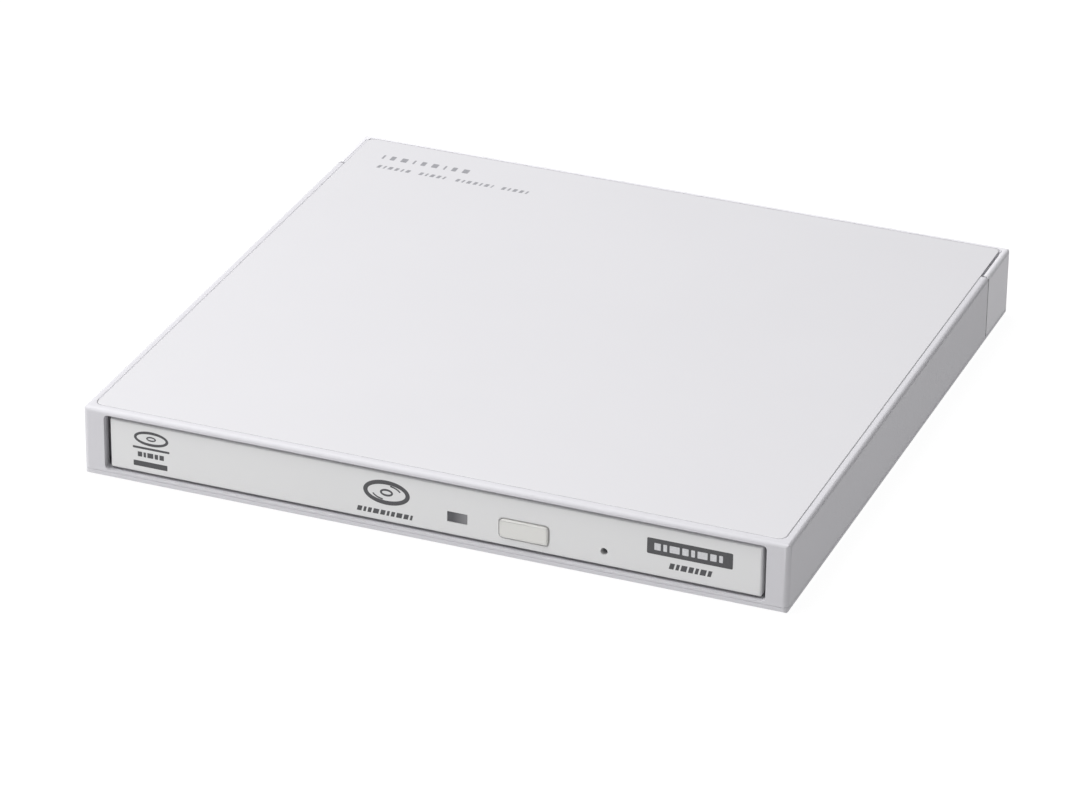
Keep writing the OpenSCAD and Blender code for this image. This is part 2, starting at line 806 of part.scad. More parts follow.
module traverse_chassis() {
  far_v = 18;
  near_v = 24;
  color(dark_steel) in_traverse() {
    difference() {
      translate([0, 0, plate_z]) linear_extrude(plate_t)
        polygon([[-22, -near_v], [30, -near_v], [36, -far_v], [64, -far_v],
                 [64, far_v], [36, far_v], [30, near_v], [-22, near_v]]);
      disc([0, 0], 13, plate_z - 1, plate_z + 1);
      block([12, -13, plate_z - 1], [62, 13, plate_z + 1]);
      block([motor_u[0] - 0.5, screw_v - 2.2, plate_z - 1], [motor_u[1] + 0.5, screw_v + 2.2, plate_z + 1]);
      for (at = damper_at) disc(at, 1.5, plate_z - 1, plate_z + 1);
      for (a = motor_post_angles) rotate(a) disc([motor_post_r, 0], 0.8, plate_z - 1, plate_z + 1);
    }
    difference() {
      union() {
        for (u = [13, 62], s = [-1, 1]) post([u + 1, s * rod_v], [2, 3.4], rod_z - 1.3, plate_z);
        post([61.2, screw_v], [1.4, 3.2], rod_z - 1.3, plate_z);
        post([motor_u[1] + 0.8, screw_v], [0.8, 3.2], rod_z - 1.3, plate_z);
      }
      for (s = [-1, 1]) along_u(s * rod_v, rod_r + 0.02, 0, 70);
      along_u(screw_v, 0.8, 0, 70);
    }
  }
}

// Round bar along the sled's travel
module along_u(v, r, u0, u1) {
  translate([u0, v, rod_z]) rotate([0, 90, 0]) cylinder(h = u1 - u0, r = r);
}

module traverse_cover() {
  z0 = 8.15;
  thick = 0.35;
  color(black_plastic) in_traverse() {
    translate([0, 0, z0]) linear_extrude(thick) difference() {
      union() {
        circle(window_r - 0.5);
        translate([0, 0.4 - window_v]) square([window_u - 0.5, 2 * window_v - 0.8]);
      }
      circle(turntable_r + 0.8);
      translate([8, -9.6]) square([54, 19.2]);
    }
    for (a = [90, 155, 245, 270]) rotate(a) post([15.9, 0], [1.6, 1.6], plate_z + plate_t, z0 + 0.1);
    for (s = [-1, 1]) post([62.6, s * 8], [0.8, 2], plate_z + plate_t, z0 + 0.1);
  }
}

module traverse_dampers() {
  color(rubber_grey) in_traverse() for (at = damper_at) difference() {
    union() {
      disc(at, 2.4, plate_z - 0.6, plate_z);
      disc(at, 1.5, plate_z - 0.6, tray_z[0]);
      disc(at, 2.4, plate_z + plate_t, tray_z[0]);
    }
    disc(at, 0.75, plate_z - 2, tray_z[0] + 1);
  }
}

module traverse_screws() {
  color(steel) in_traverse() for (at = damper_at)
    translate([at[0], at[1], plate_z - 0.6]) mirror([0, 0, 1]) screw(1.6, 0.45, 0.7, 2);
}

module guide_rods() {
  color(steel) in_traverse() for (s = [-1, 1]) along_u(s * rod_v, rod_r, rod_u[0], rod_u[1]);
}

module sled_motor() {
  color(steel) in_traverse() difference() {
    union() {
      along_u(screw_v, motor_r, motor_u[0], motor_u[1]);
      along_u(screw_v, 1.2, motor_u[0] - 0.5, motor_u[0]);
    }
    along_u(screw_v, 0.8, motor_u[1] - 2.5, motor_u[1] + 1);
  }
}

module lead_screw() {
  color(steel) in_traverse() {
    along_u(screw_v, screw_r, motor_u[1] + 1.4, 60.2);
    along_u(screw_v, 0.75, motor_u[1] - 2, 61.8);
    for (u = [motor_u[1] + 2.5:1.5:59]) along_u(screw_v, screw_r + 0.08, u, u + 0.6);
  }
}

module spindle_stator() {
  base_z = [5, 5.4];
  sleeve_z = 7.9;
  coil_z = 7.7;
  color(copper) in_traverse() difference() {
    union() {
      disc([0, 0], 12.5, base_z[0], base_z[1]);
      disc([0, 0], 10.8, base_z[0], coil_z);
      disc([0, 0], 2.5, base_z[0], sleeve_z);
      for (a = motor_post_angles) rotate(a) {
        block([11, -1.2, base_z[0]], [motor_post_r, 1.2, base_z[1]]);
        disc([motor_post_r, 0], 1.5, base_z[0], plate_z);
      }
    }
    // Gaps between the coils
    for (a = [0:40:320]) rotate(a) block([5.5, -0.6, base_z[1] + 0.2], [12, 0.6, sleeve_z + 1]);
    for (a = motor_post_angles) rotate(a) disc([motor_post_r, 0], 0.6, base_z[1] + 0.3, plate_z + 1);
    disc([0, 0], 1.05, base_z[0] - 1, sleeve_z + 1);
  }
}

module motor_screws() {
  color(steel) in_traverse() for (a = motor_post_angles) rotate(a)
    translate([motor_post_r, 0, plate_z + plate_t]) screw(1.1, 0.3, 0.57, 1.8);
}

module spindle_rotor() {
  taper = 0.5;
  shaft_r = 1;
  shaft_z = 5.5;
  can_r = 12;
  can_t = 0.7;
  can_z = [5.8, 8.2];
  table_z = 8.8;
  color(steel) in_traverse() difference() {
    rotate_extrude($fn = 96) polygon([
      [0, shaft_z], [shaft_r, shaft_z], [shaft_r, can_z[1]], [can_r - can_t, can_z[1]],
      [can_r - can_t, can_z[0]], [can_r, can_z[0]], [can_r, table_z], [turntable_r, table_z],
      [turntable_r, seat_z], [hub_r, seat_z], [hub_r, lock_z],
      [hub_r - 1.2, lock_z + taper], [0, lock_z + taper]
    ]);
    for (a = [0, 120, 240]) rotate(a) block([4.6, -1, seat_z + 0.3], [hub_r + 1, 1, lock_z + taper + 1]);
  }
}

module turntable_pad() {
  color(rubber_grey) in_traverse()
    ring([0, 0], turntable_r - 4.5, turntable_r - 0.5, seat_z, seat_z + 0.2);
}

module hub_claws() {
  color(black_plastic) in_traverse() for (a = [0, 120, 240]) rotate(a)
    block([4.7, -0.9, seat_z + 0.3], [hub_r + 0.12, 0.9, lock_z + 0.2]);
}

// ---------------------------------------------------------------- pickup

module pickup_body() {
  pocket_v = 4.2;
  color(dark_steel) in_traverse() difference() {
    union() {
      block([pickup_u[0], -pickup_v, pickup_z[0]], [pickup_u[1], pickup_v, pickup_z[1]]);
      block([pickup_u[0], -13, pickup_z[0]], [pickup_u[1], 13, 7.2]);
    }
    for (s = [-1, 1]) along_u(s * rod_v, rod_r + 0.05, 0, 60);
    block([pickup_u[0] + 2.2, -pocket_v, 7.3], [pickup_u[1] - 0.6, pocket_v, 10]);
  }
}

module pickup_cover() {
  z0 = pickup_z[1];
  color(steel) in_traverse() difference() {
    block([pickup_u[0] + 0.2, -pickup_v + 0.2, z0], [pickup_u[1] - 0.2, pickup_v - 0.2, z0 + 0.2]);
    block([pickup_u[0] + 2.4, -4, z0 - 1], [pickup_u[1] - 0.8, 4, z0 + 1]);
  }
}

module rack_nut() {
  color(black_plastic) in_traverse() difference() {
    block([nut_u[0], 13, rod_z - 1], [nut_u[1], screw_v - 0.3, rod_z + 1.1]);
    along_u(screw_v, screw_r + 0.12, 0, 60);
  }
}

module lens_holder() {
  color(black_plastic) in_traverse()
    block([lens_start - 4.3, -3.5, 7.8], [lens_start + 3.2, 3.5, holder_top]);
}

module objective_lenses() {
  dome_r = 3;
  dome_h = 0.45;
  color(lens_blue) in_traverse() for (lens = [[lens_start - 2.3, 1.4], [lens_start + 1.3, 1.6]])
    translate([lens[0], 0, holder_top]) rotate_extrude() intersection() {
      translate([0, dome_h - dome_r]) circle(dome_r);
      square([lens[1], dome_r]);
    }
}

// ---------------------------------------------------------------- latch and ejector

module latch_solenoid() {
  color(copper) in_drive() {
    block([36, -52.4, 4.2], [45, -45.5, tray_board_z]);
    block([46.5, -50.5, 4.3], [48.5, -47.5, tray_board_z]);
    block([44, -49.6, 4.4], [47, -48.4, 5.4]);
  }
}

module latch_pivot() {
  color(steel) in_drive() {
    disc(pivot_at, pivot_r, lever_z[0] - 0.1, tray_z[0] + 1);
    disc(pivot_at, 1.5, lever_z[0] - 0.4, lever_z[0] - 0.1);
  }
}

// Flat lever in its closed place about the pivot: a release arm to the left and a hook to the right
module lever_shape() {
  arm = 1.6;
  translate([-16.8, -1.3]) square([16.8, arm]);
  circle(2);
  polygon([[0, -1.6], [5.8, 2.2], [5.8, 10], [4.2, 10], [4.2, 3.2], [0, 1.2]]);
  translate([1.8, 8.2]) square([4, 1.8]);
}

module latch_lever() {
  color(dark_steel) in_drive() translate([pivot_at[0], pivot_at[1], lever_z[0]]) rotate(-latch_open)
    linear_extrude(lever_z[1] - lever_z[0]) difference() {
      lever_shape();
      circle(pivot_r + 0.06);
    }
}

module along_y(x, z, r, y0, y1) {
  translate([x, y1, z]) rotate([90, 0, 0]) cylinder(h = y1 - y0, r = r);
}

module eject_plunger() {
  color(bezel_white) in_drive() {
    along_y(plunger_x, plunger_z, plunger_r, plunger_y[0], plunger_y[1]);
    along_y(plunger_x, plunger_z, 1.5, collar_y, collar_y + 1.2);
  }
}

module eject_spring() {
  pitch = 1.2;
  wire = 0.3;
  start = rear_rib_y + rib_t;
  color(steel) in_drive() for (y = [start:pitch:collar_y - 2 * wire])
    translate([plunger_x, y + wire / 2, plunger_z]) rotate([90, 0, 0])
      rotate_extrude() translate([plunger_r + 0.25, 0]) circle(wire / 2, $fn = 16);
}

// ---------------------------------------------------------------- nodes

top_panel();
upper_frame();
rear_cover();
bottom_cover();
rubber_feet();
case_screws();
foam_pads();
drive_brackets();
bracket_screws();
bridge_board();
bridge_chips();
board_screws();
usb_port_shell();
usb_port_tongue();
sata_plug();
chassis_base();
chassis_cover();
chassis_screws();
interface_board();
interface_chips();
sata_socket();
left_rail();
right_rail();
latch_pin();
flex_fixed_run();
left_slide();
right_slide();
flex_loop();
tray();
bezel();
led_window();
tray_board();
tray_board_chips();
eject_switch();
tray_bottom_cover();
traverse_chassis();
traverse_cover();
traverse_dampers();
traverse_screws();
guide_rods();
sled_motor();
spindle_stator();
motor_screws();
latch_solenoid();
latch_pivot();
flex_moving_run();
flex_connector();
spindle_rotor();
turntable_pad();
hub_claws();
pickup_body();
pickup_cover();
rack_nut();
lens_holder();
objective_lenses();
lead_screw();
latch_lever();
eject_button();
eject_plunger();
eject_spring();
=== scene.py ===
import json
import math

import bmesh
import bpy
from mathutils import Matrix, Vector


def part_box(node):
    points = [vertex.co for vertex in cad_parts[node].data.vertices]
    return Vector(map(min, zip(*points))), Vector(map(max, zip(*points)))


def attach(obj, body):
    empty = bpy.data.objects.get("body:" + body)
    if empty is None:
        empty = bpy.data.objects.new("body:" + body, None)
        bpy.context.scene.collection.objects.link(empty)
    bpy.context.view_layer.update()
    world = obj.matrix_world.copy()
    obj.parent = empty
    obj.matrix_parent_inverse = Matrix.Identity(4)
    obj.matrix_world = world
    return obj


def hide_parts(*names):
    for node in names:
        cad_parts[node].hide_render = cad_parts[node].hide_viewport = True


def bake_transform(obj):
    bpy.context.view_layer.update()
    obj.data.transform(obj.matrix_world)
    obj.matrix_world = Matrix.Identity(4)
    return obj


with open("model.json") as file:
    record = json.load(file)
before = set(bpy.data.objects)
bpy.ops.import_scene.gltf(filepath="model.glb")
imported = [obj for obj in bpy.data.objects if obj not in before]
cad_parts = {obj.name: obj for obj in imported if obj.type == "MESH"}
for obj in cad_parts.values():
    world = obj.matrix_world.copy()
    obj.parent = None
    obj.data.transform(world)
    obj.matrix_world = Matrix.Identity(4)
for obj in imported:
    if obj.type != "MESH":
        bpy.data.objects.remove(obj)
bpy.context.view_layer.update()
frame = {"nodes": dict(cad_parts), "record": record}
MM = 0.001
RECORD = frame["record"]
NODES = frame["nodes"]


# ---------------------------------------------------------------- materials

class Graph:
    """A material's node tree, with short calls to add and join nodes."""

    def __init__(self, name):
        self.material = bpy.data.materials.new(name)
        self.material.use_nodes = True
        self.tree = self.material.node_tree
        self.tree.nodes.clear()
        self.output = self.add("ShaderNodeOutputMaterial")
        self.shader = self.add("ShaderNodeBsdfPrincipled")
        self.join(self.shader, "BSDF", self.output, "Surface")
        self.place = self.add("ShaderNodeTexCoord")

    def add(self, kind, **values):
        node = self.tree.nodes.new(kind)
        for key, value in values.items():
            setattr(node, key, value)
        return node

    def join(self, source, out, target, into):
        self.tree.links.new(source.outputs[out], target.inputs[into])

    def set(self, node, **values):
        """Gives a node's sockets their values, with _ for the space in a socket's name."""
        for key, value in values.items():
            node.inputs[key.replace("_", " ")].default_value = value

    def noise(self, scale, detail, stretch=(1, 1, 1)):
        """Noise with its size given in cells to the metre."""
        mapping = self.add("ShaderNodeMapping")
        mapping.inputs["Scale"].default_value = stretch
        self.join(self.place, "Object", mapping, "Vector")
        noise = self.add("ShaderNodeTexNoise")
        noise.inputs["Scale"].default_value = scale
        noise.inputs["Detail"].default_value = detail
        self.join(mapping, "Vector", noise, "Vector")
        return noise

    def spread(self, source, out, low, high, from_low=0.3, from_high=0.7):
        """Maps a texture's middle range to low..high."""
        node = self.add("ShaderNodeMapRange")
        self.join(source, out, node, "Value")
        node.inputs["From Min"].default_value = from_low
        node.inputs["From Max"].default_value = from_high
        node.inputs["To Min"].default_value = low
        node.inputs["To Max"].default_value = high
        return node

    def colours(self, source, out, dark, light):
        """Mixes two colours by a texture and feeds the shader."""
        node = self.add("ShaderNodeMix", data_type="RGBA")
        self.join(source, out, node, "Factor")
        node.inputs["A"].default_value = (*dark, 1)
        node.inputs["B"].default_value = (*light, 1)
        self.join(node, "Result", self.shader, "Base Color")

    def bump(self, source, out, height, strength=1.0):
        """Raises the surface by height in metres where the texture is bright."""
        node = self.add("ShaderNodeBump")
        node.inputs["Distance"].default_value = height
        node.inputs["Strength"].default_value = strength
        self.join(source, out, node, "Height")
        self.join(node, "Normal", self.shader, "Normal")


def near(colour, change):
    """A colour made lighter or darker by a share of itself."""
    return tuple(c * (1 + change) for c in colour)


def moulded(name, colour, rough, grain=5200, height=6e-6, shine=0.5):
    """Moulded plastic: fine eroded grain, faint flow mottling and uneven gloss."""
    g = Graph(name)
    broad = g.noise(38, 3)
    g.colours(broad, "Fac", near(colour, -0.015), near(colour, 0.015))
    fine = g.noise(grain, 3)
    rough_map = g.spread(fine, "Fac", rough - 0.05, rough + 0.05)
    g.join(rough_map, "Result", g.shader, "Roughness")
    g.bump(fine, "Fac", height)
    g.set(g.shader, IOR=1.5, Specular_IOR_Level=shine)
    return g.material


def rolled_steel(name, colour, rough, along=(1, 14, 1), mottle=0.08, grain=900):
    """Sheet or bar steel with fine lines along one way."""
    g = Graph(name)
    lines = g.noise(grain, 4, stretch=along)
    g.colours(lines, "Fac", near(colour, -mottle), near(colour, mottle))
    rough_map = g.spread(lines, "Fac", rough - 0.07, rough + 0.09)
    g.join(rough_map, "Result", g.shader, "Roughness")
    g.bump(lines, "Fac", 4e-6, 0.6)
    g.set(g.shader, Metallic=1.0)
    return g.material


def spangled_steel(name, colour):
    """Zinc-plated sheet with soft crystal patches."""
    g = Graph(name)
    cells = g.add("ShaderNodeTexVoronoi", feature="SMOOTH_F1")
    g.set(cells, Scale=420.0, Smoothness=0.6)
    g.join(g.place, "Object", cells, "Vector")
    g.colours(cells, "Distance", near(colour, -0.16), near(colour, 0.08))
    scratch = g.noise(1500, 3, stretch=(1, 10, 1))
    rough_map = g.spread(scratch, "Fac", 0.42, 0.6)
    g.join(rough_map, "Result", g.shader, "Roughness")
    g.bump(scratch, "Fac", 3e-6, 0.5)
    g.set(g.shader, Metallic=1.0)
    return g.material


def turned_metal(name, colour, rough):
    """Metal with fine rings round an upright axis, left by a lathe tool."""
    g = Graph(name)
    rings = g.add("ShaderNodeTexWave", wave_type="RINGS", rings_direction="Z")
    g.set(rings, Scale=420.0, Distortion=0.0)
    g.join(g.place, "Object", rings, "Vector")
    g.colours(rings, "Fac", near(colour, -0.05), near(colour, 0.05))
    rough_map = g.spread(rings, "Fac", rough - 0.03, rough + 0.04, 0, 1)
    g.join(rough_map, "Result", g.shader, "Roughness")
    g.bump(rings, "Fac", 1e-6, 0.4)
    g.set(g.shader, Metallic=1.0)
    return g.material


def light_pipe(name, dark, light, x_dark, x_light):
    """Smoky plastic whose colour is painted darker towards one end: painted shade where the lamp's
    housing lies behind it.
    """
    g = Graph(name)
    split = g.add("ShaderNodeSeparateXYZ")
    g.join(g.place, "Object", split, "Vector")
    # Painted shade: the colour runs from dark at x_dark to light at x_light
    along = g.spread(split, "X", 0, 1, x_dark, x_light)
    broad = g.noise(700, 2)
    mixed = g.add("ShaderNodeMath", operation="MULTIPLY_ADD")
    g.join(broad, "Fac", mixed, 0)
    mixed.inputs[1].default_value = 0.15
    g.join(along, "Result", mixed, 2)
    g.colours(mixed, "Value", dark, light)
    g.set(g.shader, Roughness=0.16, IOR=1.5, Transmission_Weight=0.15)
    return g.material


def rubber(name, colour):
    """Dull rubber with a fine skin."""
    g = Graph(name)
    broad = g.noise(240, 3)
    g.colours(broad, "Fac", near(colour, -0.12), near(colour, 0.18))
    fine = g.noise(3600, 2)
    g.bump(fine, "Fac", 1.6e-5)
    g.set(g.shader, Roughness=0.82, IOR=1.45)
    return g.material


def foam(name, colour):
    """Open foam, its colour painted darker in the middle of each cell as painted shade in the
    pores, and lighter at the walls of its cells.
    """
    g = Graph(name)
    cells = g.add("ShaderNodeTexVoronoi")
    g.set(cells, Scale=2200.0)
    g.join(g.place, "Object", cells, "Vector")
    # Painted shade: darker in each pore, lighter at the cell walls
    g.colours(cells, "Distance", near(colour, -0.5), near(colour, 0.6))
    g.bump(cells, "Distance", 1.2e-4)
    g.set(g.shader, Roughness=0.95)
    return g.material


def circuit(name):
    """Green solder mask over copper runs."""
    g = Graph(name)
    runs = g.add("ShaderNodeTexBrick")
    g.join(g.place, "Object", runs, "Vector")
    g.set(runs, Scale=420.0, Mortar_Size=0.09, Color1=(0.012, 0.14, 0.07, 1),
          Color2=(0.016, 0.18, 0.085, 1), Mortar=(0.03, 0.26, 0.12, 1))
    g.join(runs, "Color", g.shader, "Base Color")
    g.bump(runs, "Fac", 1.2e-5)
    fine = g.noise(1800, 2)
    rough_map = g.spread(fine, "Fac", 0.28, 0.42)
    g.join(rough_map, "Result", g.shader, "Roughness")
    g.set(g.shader, Coat_Weight=0.4, Coat_Roughness=0.2)
    return g.material


def film(name):
    """Flat cable: clear film over parallel tinned conductors."""
    g = Graph(name)
    wave = g.add("ShaderNodeTexWave", wave_type="BANDS", bands_direction="X",
                 wave_profile="SIN")
    g.set(wave, Scale=310.0, Distortion=0.0)
    g.join(g.place, "Object", wave, "Vector")
    g.colours(wave, "Fac", (0.36, 0.37, 0.36), (0.78, 0.74, 0.62))
    g.bump(wave, "Fac", 1.5e-5)
    g.set(g.shader, Roughness=0.28, Coat_Weight=0.5, Coat_Roughness=0.12)
    return g.material


def clear(name, colour, rough):
    """Tinted glass with a coating that varies a little."""
    g = Graph(name)
    broad = g.noise(500, 2)
    g.colours(broad, "Fac", near(colour, -0.1), near(colour, 0.1))
    rough_map = g.spread(broad, "Fac", rough * 0.7, rough * 1.3)
    g.join(rough_map, "Result", g.shader, "Roughness")
    g.set(g.shader, Transmission_Weight=0.85, IOR=1.5)
    return g.material


def windings(name):
    """Enamelled copper wire wound in fine turns, its colour painted darker between the turns as
    painted shade in the grooves.
    """
    g = Graph(name)
    wave = g.add("ShaderNodeTexWave", wave_type="RINGS", rings_direction="Z")
    g.set(wave, Scale=900.0, Distortion=0.4, Detail_Scale=300.0)
    g.join(g.place, "Object", wave, "Vector")
    # Painted shade: darker in the grooves between turns
    g.colours(wave, "Fac", (0.28, 0.1, 0.04), (0.75, 0.36, 0.16))
    g.bump(wave, "Fac", 3e-5)
    g.set(g.shader, Metallic=0.8, Roughness=0.35)
    return g.material


def ink(name, colour=(0.07, 0.07, 0.075)):
    """Screen-printed ink with slightly uneven cover."""
    g = Graph(name)
    fine = g.noise(2600, 3)
    g.colours(fine, "Fac", near(colour, -0.25), near(colour, 0.25))
    g.bump(fine, "Fac", 4e-6)
    g.set(g.shader, Roughness=0.55)
    return g.material


MATERIALS = {
    "panel_plastic": moulded("panel_plastic", (0.63, 0.624, 0.645), 0.52, grain=4200,
                             height=5e-6, shine=0.4),
    "shell_plastic": moulded("shell_plastic", (0.61, 0.603, 0.632), 0.58, shine=0.25),
    "bezel_plastic": moulded("bezel_plastic", (0.71, 0.71, 0.714), 0.42, grain=6500,
                             height=3e-6, shine=0.4),
    "foot_rubber": rubber("foot_rubber", (0.06, 0.06, 0.065)),
    "screw_steel": rolled_steel("screw_steel", (0.4, 0.4, 0.42), 0.32, along=(1, 1, 1)),
    "foam": foam("foam", (0.03, 0.03, 0.035)),
    "sheet_steel": spangled_steel("sheet_steel", (0.4, 0.405, 0.42)),
    "rail_steel": rolled_steel("rail_steel", (0.38, 0.385, 0.4), 0.4, along=(10, 0.4, 10)),
    "port_steel": rolled_steel("port_steel", (0.68, 0.68, 0.7), 0.2, along=(1, 3, 1),
                               mottle=0.04),
    "spring_steel": rolled_steel("spring_steel", (0.6, 0.6, 0.62), 0.25, along=(1, 1, 1)),
    "traverse_steel": rolled_steel("traverse_steel", (0.14, 0.14, 0.15), 0.42, along=(2, 2, 1)),
    "pickup_metal": rolled_steel("pickup_metal", (0.2, 0.2, 0.21), 0.5, along=(1, 1, 1),
                                 grain=500),
    "rotor_aluminium": turned_metal("rotor_aluminium", (0.42, 0.42, 0.44), 0.36),
    "circuit_board": circuit("circuit_board"),
    "chip_plastic": moulded("chip_plastic", (0.018, 0.018, 0.02), 0.5, grain=3000,
                            height=8e-6),
    "connector_plastic": moulded("connector_plastic", (0.03, 0.03, 0.033), 0.4),
    "tray_plastic": moulded("tray_plastic", (0.035, 0.035, 0.038), 0.46, grain=2600,
                            height=1.4e-5),
    "nut_plastic": moulded("nut_plastic", (0.68, 0.66, 0.6), 0.45),
    "flex_film": film("flex_film"),
    "motor_copper": windings("motor_copper"),
    # The light pipe's darker end is painted shade
    "light_pipe": light_pipe("light_pipe", (0.07, 0.07, 0.08), (0.24, 0.24, 0.25),
                             4.6 * MM, 7.4 * MM),
    "lens_glass": clear("lens_glass", (0.5, 0.62, 0.9), 0.03),
}
COVER = moulded("cover_plastic", (0.735, 0.727, 0.757), 0.58, shine=0.25)
BUTTON = moulded("button_plastic", (0.7, 0.695, 0.672), 0.4, grain=6500, height=3e-6, shine=0.4)
LABEL = moulded("label_film", (0.68, 0.68, 0.7), 0.6, grain=1500, height=4e-6, shine=0.3)
GOLD = rolled_steel("contact_gold", (0.83, 0.62, 0.26), 0.25, along=(1, 3, 1), mottle=0.04)
TIN = rolled_steel("pin_tin", (0.6, 0.6, 0.6), 0.36, along=(1, 1, 1), mottle=0.06)
# Dark colour of the strips in the two upright seams: painted shade
SEAM_SHADE_RUBBER = rubber("seam_shade_rubber", (0.12, 0.12, 0.125))
# Grey colour of the strip in the lid's seam: painted shade
GREY_SEAM_SHADE = rubber("grey_seam_shade", (0.24, 0.24, 0.25))
INK = ink("printed_ink")
PALE_INK = ink("pale_ink", (0.62, 0.62, 0.64))
GREY_INK = ink("grey_ink", (0.3, 0.3, 0.32))


# ---------------------------------------------------------------- CAD nodes

def joined_surface():
    """Nodes that weld a loaded mesh and drop the normals it came with."""
    tree = bpy.data.node_groups.new("joined_surface", "GeometryNodeTree")
    for way in ("INPUT", "OUTPUT"):
        tree.interface.new_socket("Geometry", in_out=way, socket_type="NodeSocketGeometry")
    weld = tree.nodes.new("GeometryNodeMergeByDistance")
    weld.inputs["Distance"].default_value = 2e-6
    normals = tree.nodes.new("GeometryNodeSetMeshNormal")
    normals.inputs["Remove Custom"].default_value = True
    chain = [tree.nodes.new("NodeGroupInput"), weld, normals,
             tree.nodes.new("GeometryNodeSetShadeSmooth"), tree.nodes.new("NodeGroupOutput")]
    for here, there in zip(chain, chain[1:]):
        tree.links.new(here.outputs[0], there.inputs[0])
    return tree


def soften(node, width, surface):
    """Breaks a CAD node's sharp edges, as a mould or a press does."""
    obj = NODES[node]
    obj.modifiers.new("joined", "NODES").node_group = surface
    plain = obj.modifiers.new("plain", "DECIMATE")
    plain.decimate_type = "DISSOLVE"
    plain.angle_limit = math.radians(0.4)
    bevel = obj.modifiers.new("edges", "BEVEL")
    bevel.width = width
    bevel.segments = 3
    bevel.limit_method = "ANGLE"
    bevel.angle_limit = math.radians(35)
    bevel.use_clamp_overlap = True
    normals = obj.modifiers.new("normals", "WEIGHTED_NORMAL")
    normals.weight = 50


def dress_nodes():
    """Gives every CAD node the material of its slot, and two nodes a shade of their own."""
    for part in RECORD["subparts"]:
        obj = NODES[part["node"]]
        obj.data.materials.clear()
        obj.data.materials.append(MATERIALS[part["material_slot"]])
    NODES["eject_button"].data.materials[0] = BUTTON
    NODES["rear_cover"].data.materials[0] = COVER


EDGE_WIDTHS = {
    "upper_frame": 0.26 * MM, "rear_cover": 0.14 * MM, "bottom_cover": 0.12 * MM,
    "top_panel": 0.1 * MM, "bezel": 0.12 * MM, "tray": 0.18 * MM, "chassis_base": 0.06 * MM,
    "chassis_cover": 0.08 * MM, "eject_button": 0.16 * MM, "led_window": 0.06 * MM,
}


# ---------------------------------------------------------------- printed marks

class Print:
    """Flat ink shapes on a plane, each a thin closed prism."""

    # Where a prism starts and ends, counted in thicknesses from the plane
    BACK, FACE = -0.5, 0.6
    # A dash shorter than this many millimetres is left out
    SHORTEST = 0.3

    def __init__(self, name, origin, across, up, thick=0.02 * MM):
        self.name = name
        self.mesh = bmesh.new()
        self.origin = Vector(origin)
        self.across = Vector(across).normalized()
        self.up = Vector(up).normalized()
        self.out = self.across.cross(self.up) * thick

    def point(self, a, b, level):
        return self.origin + self.across * (a * MM) + self.up * (b * MM) + self.out * level

    def prism(self, outline):
        """A prism with that outline, counter-clockwise seen from outside, in millimetres."""
        low = [self.mesh.verts.new(self.point(a, b, self.BACK)) for a, b in outline]
        high = [self.mesh.verts.new(self.point(a, b, self.FACE)) for a, b in outline]
        count = len(outline)
        self.mesh.faces.new(high)
        self.mesh.faces.new(list(reversed(low)))
        for i in range(count):
            j = (i + 1) % count
            self.mesh.faces.new((low[i], low[j], high[j], high[i]))

    def bar(self, a0, a1, b0, b1, r=0.0, lean=0.0):
        """A rectangle with round corners; lean shifts its top to the right."""
        r = min(r, (a1 - a0) / 2, (b1 - b0) / 2)
        points = []
        corners = [(a1 - r, b0 + r, -90), (a1 - r, b1 - r, 0),
                   (a0 + r, b1 - r, 90), (a0 + r, b0 + r, 180)]
        steps = 5 if r > 0 else 1
        for ca, cb, start in corners:
            for k in range(steps):
                t = math.radians(start + (90 * k / (steps - 1) if steps > 1 else 45))
                points.append((ca + r * math.cos(t), cb + r * math.sin(t)))
        if lean:
            points = [(a + lean * (b - b0), b) for a, b in points]
        self.prism(points)

    def arc(self, centre, radii, width, start=0.0, end=360.0, steps=48):
        """A band round an ellipse, from start to end in degrees."""
        ca, cb = centre
        ra, rb = radii
        full = abs(end - start) >= 360
        rows = []
        for k in range(steps + (0 if full else 1)):
            t = math.radians(start + (end - start) * k / steps)
            c, s = math.cos(t), math.sin(t)
            spots = [self.point(ca + c * (ra - inset), cb + s * (rb - inset), level)
                     for inset, level in ((0, self.BACK), (0, self.FACE),
                                          (width, self.FACE), (width, self.BACK))]
            rows.append([self.mesh.verts.new(spot) for spot in spots])
        if full:
            add_sides(self.mesh, rows + rows[:1])
        else:
            add_bar(self.mesh, rows)

    def dashes(self, a0, a1, b0, b1, lengths, gap, r=0.0, lean=0.0):
        """A row of dashes between a0 and a1, with lengths in a repeated pattern."""
        a, k = a0, 0
        while a < a1 - self.SHORTEST:
            end = min(a1, a + lengths[k % len(lengths)])
            self.bar(a, end, b0, b1, r, lean)
            a = end + gap
            k += 1

    def finish(self, body, material, slot):
        piece(self.name, self.mesh, material, body)


def front_print(name):
    """A print on the bezel, in millimetres right and up from the middle of its lower edge."""
    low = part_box("bezel")[0]
    return Print(name, (0, low.y, low.z), (1, 0, 0), (0, 0, 1))


def print_left_mark():
    """A small disc sign over two bars."""
    p = front_print("disc_mark_left")
    centre = (-55.6, 7.3)
    p.arc(centre, (3.5, 1.5), 0.55)
    p.arc(centre, (1.0, 0.5), 0.3, steps=24)
    p.bar(-59.4, -51.9, 4.95, 5.4, 0.2)
    p.dashes(-58.4, -52.8, 3.3, 4.3, (0.9, 0.5, 1.2, 0.7), 0.28)
    p.bar(-59.3, -52.4, 1.3, 2.4, 0.1)
    p.finish("tray_body", INK, "bezel_plastic")


